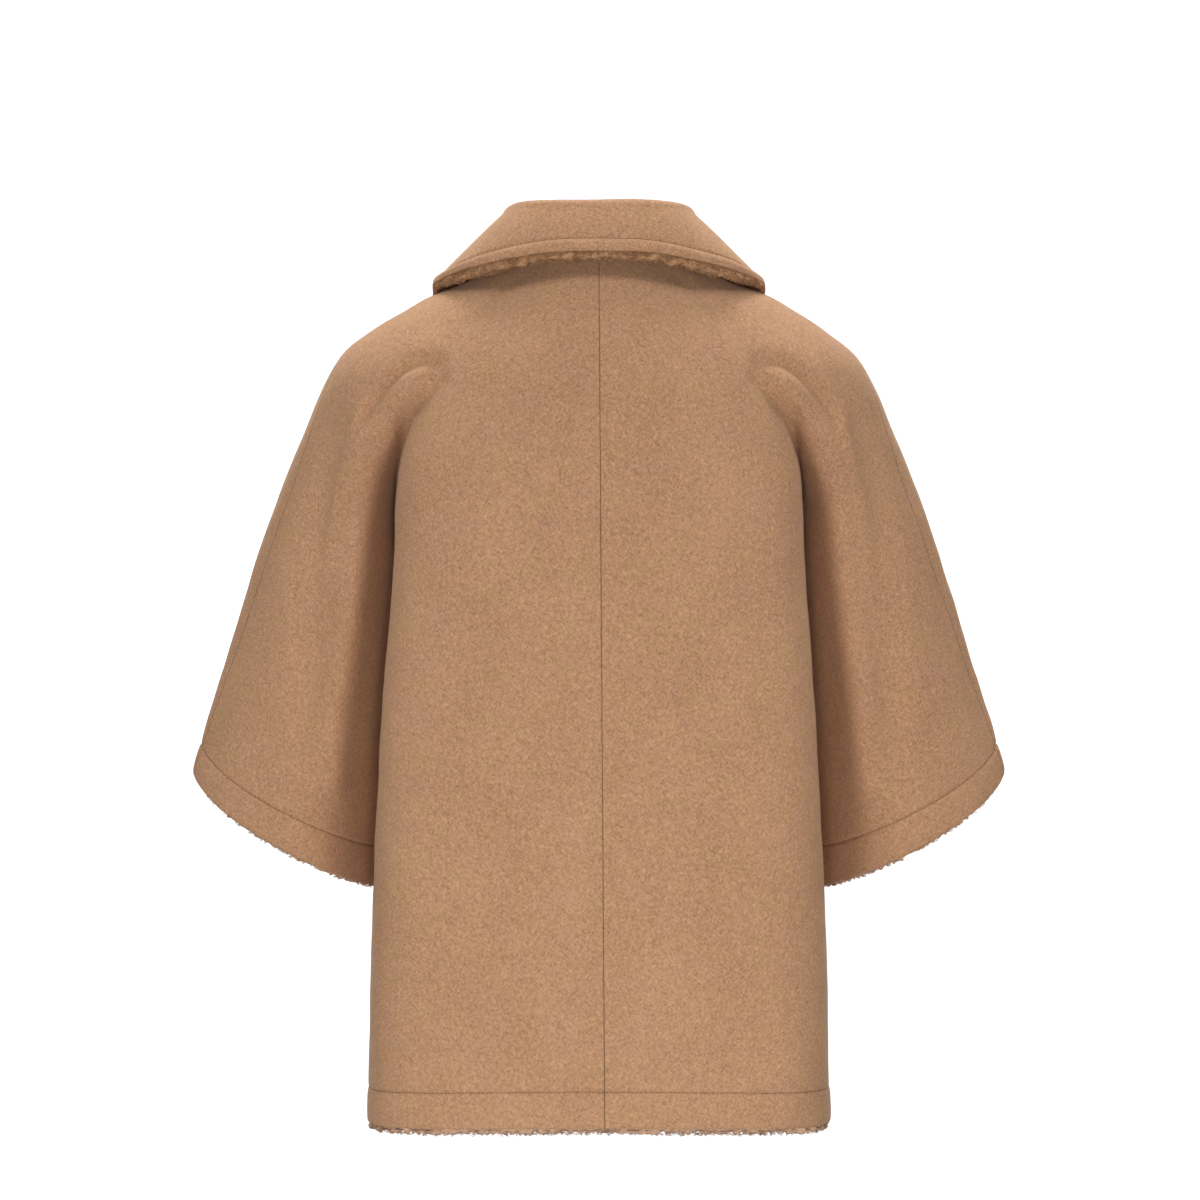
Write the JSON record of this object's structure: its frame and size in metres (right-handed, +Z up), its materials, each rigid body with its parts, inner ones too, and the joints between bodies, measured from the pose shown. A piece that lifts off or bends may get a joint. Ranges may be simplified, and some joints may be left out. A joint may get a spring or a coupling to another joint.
{
  "type": "wool cape",
  "caption": "Short camel wool cape with wide elbow-length sleeves cut in one with the body, a turned-down collar and a curly pile lining the collar's underside, hem and cuffs; worn hollow form.",
  "frame": {"origin": "the middle of the neck opening, level with the two side neck points, where the cape rests on the wearer's shoulders", "axes": "+Z up, towards the head; the front faces -Y and the back +Y; the wearer's left is +X"},
  "size_m": [0.7152, 0.2984, 0.8072],
  "materials": {
    "wool": "brushed woollen coating with a short, soft nap",
    "pile": "short curly pile"
  },
  "bodies": {
    "root": {"back_left": "wool", "back_right": "wool", "front_left": "wool", "front_right": "wool", "collar": "wool", "under_collar": "pile", "hem_facing_back_left": "pile", "hem_facing_back_right": "pile", "hem_facing_front_left": "pile", "hem_facing_front_right": "pile", "cuff_facing_back_left": "pile", "cuff_facing_back_right": "pile", "cuff_facing_front_left": "pile", "cuff_facing_front_right": "pile"}
  },
  "joints": []
}
